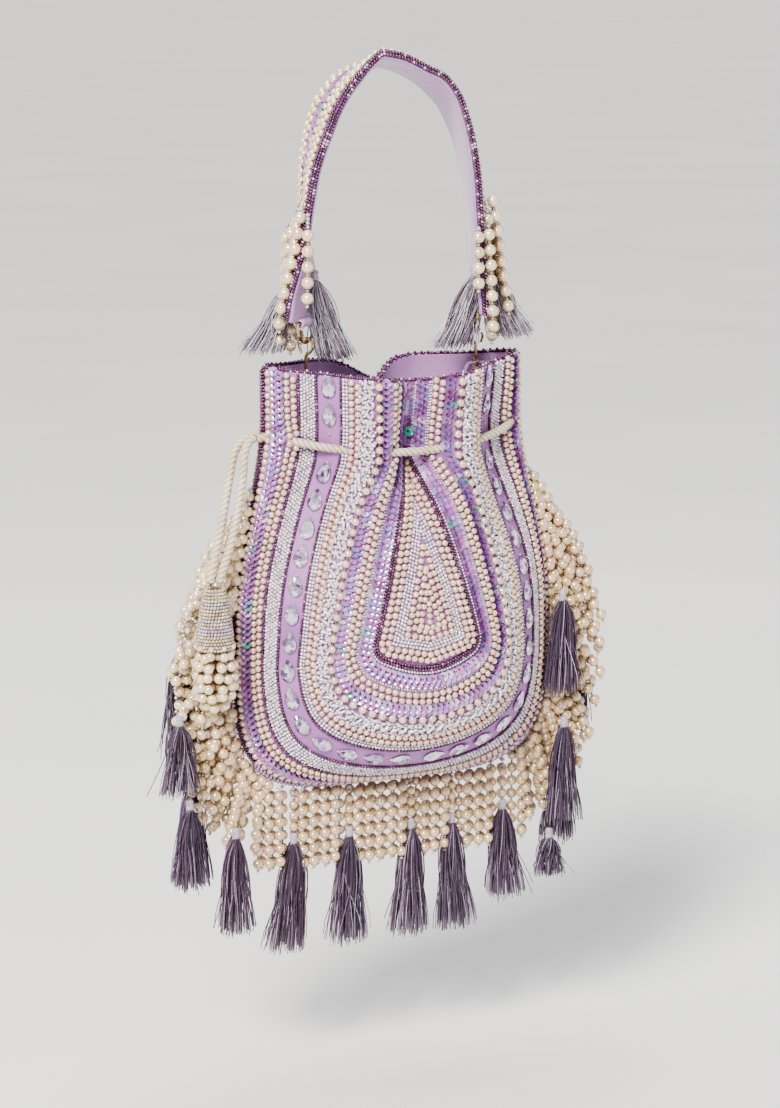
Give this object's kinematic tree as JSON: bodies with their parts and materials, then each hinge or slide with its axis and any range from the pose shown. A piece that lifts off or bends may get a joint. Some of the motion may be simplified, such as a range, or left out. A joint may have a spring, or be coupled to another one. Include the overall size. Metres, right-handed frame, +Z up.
{
  "type": "potli bag",
  "caption": "Beaded drawstring pouch with a gathered neck, a short strap handle on ring clasps, a pearl strand fringe, thread tassels and a corded drawstring tail.",
  "frame": {"origin": "underside of the handle's highest point, where a hook or a hand carries the bag", "axes": "+Z up, the bag hangs down -Z; front face towards -Y; +X to the right seen from the front"},
  "size_m": [0.2918, 0.108, 0.527],
  "materials": {
    "beaded_fabric": "satin covered in pearls, seed beads, sequins and faceted drops",
    "satin_lining": "satin",
    "plum_piping": "beaded edging",
    "ivory_cord": "twisted cord",
    "gold_metal": "polished gold tone",
    "pearl": "pearly",
    "thread": "silky thread",
    "pale_thread": "silky thread",
    "seed_beads": "small shiny beads",
    "satin_strap": "satin"
  },
  "bodies": {
    "handle": {"handle_strap": "beaded_fabric", "handle_lining": "satin_strap", "handle_piping_front": "plum_piping", "handle_piping_back": "plum_piping", "ring_left": "gold_metal", "clasp_left": "gold_metal", "handle_string_left_1": "pearl", "handle_string_left_2": "pearl", "handle_string_left_3": "pearl", "handle_string_left_4": "pearl", "handle_tassel_left_1": "pale_thread", "handle_tassel_left_2": "pale_thread", "ring_right": "gold_metal", "clasp_right": "gold_metal", "handle_string_right_1": "pearl", "handle_string_right_2": "pearl", "handle_string_right_3": "pearl", "handle_string_right_4": "pearl", "handle_tassel_right_1": "pale_thread", "handle_tassel_right_2": "pale_thread"},
    "clasp_lever_left": {"clasp_lever_left": "gold_metal"},
    "clasp_lever_right": {"clasp_lever_right": "gold_metal"},
    "pouch": {"front_panel": "beaded_fabric", "back_panel": "beaded_fabric", "lining": "satin_lining", "rim_piping": "plum_piping", "seam_piping": "plum_piping", "drawstring": "ivory_cord", "drawstring_tail_1": "ivory_cord", "drawstring_tail_2": "ivory_cord", "drawstring_cap": "seed_beads", "drawstring_pearls": "pearl", "fringe_bottom_1": "pearl", "fringe_bottom_2": "pearl", "fringe_bottom_3": "pearl", "fringe_bottom_4": "pearl", "fringe_left_upper": "pearl", "fringe_left_lower": "pearl", "tab_left": "satin_lining", "fringe_right_upper": "pearl", "fringe_right_lower": "pearl", "tab_right": "satin_lining", "tassel_bottom_1": "thread", "tassel_bottom_2": "thread", "tassel_bottom_3": "thread", "tassel_bottom_4": "thread", "tassel_bottom_5": "thread", "tassel_left_1": "thread", "tassel_right_1": "thread", "tassel_left_2": "thread", "tassel_right_2": "thread", "tassel_left_3": "thread", "tassel_right_3": "thread", "tassel_back_1": "thread", "tassel_back_2": "thread", "tassel_back_3": "thread", "tassel_back_4": "thread"}
  },
  "joints": [
    {"name": "pouch_swing", "type": "hinge", "parent": "handle", "child": "pouch", "pos_m": [0, 0, -0.1775], "axis": [1, 0, 0], "range_deg": [-25, 25]},
    {"name": "clasp_lever_left_pivot", "type": "hinge", "parent": "handle", "child": "clasp_lever_left", "pos_m": [-0.05694, 0.00081, -0.16516], "axis": [0.7388, 0.6739, 0], "range_deg": [0, 16], "stiffness_Nm_per_rad": 0.0006, "springref_deg": -11.46},
    {"name": "clasp_lever_right_pivot", "type": "hinge", "parent": "handle", "child": "clasp_lever_right", "pos_m": [0.05724, -0.00037, -0.16516], "axis": [-0.3382, -0.9411, 0], "range_deg": [0, 16], "stiffness_Nm_per_rad": 0.0006, "springref_deg": -11.46}
  ]
}
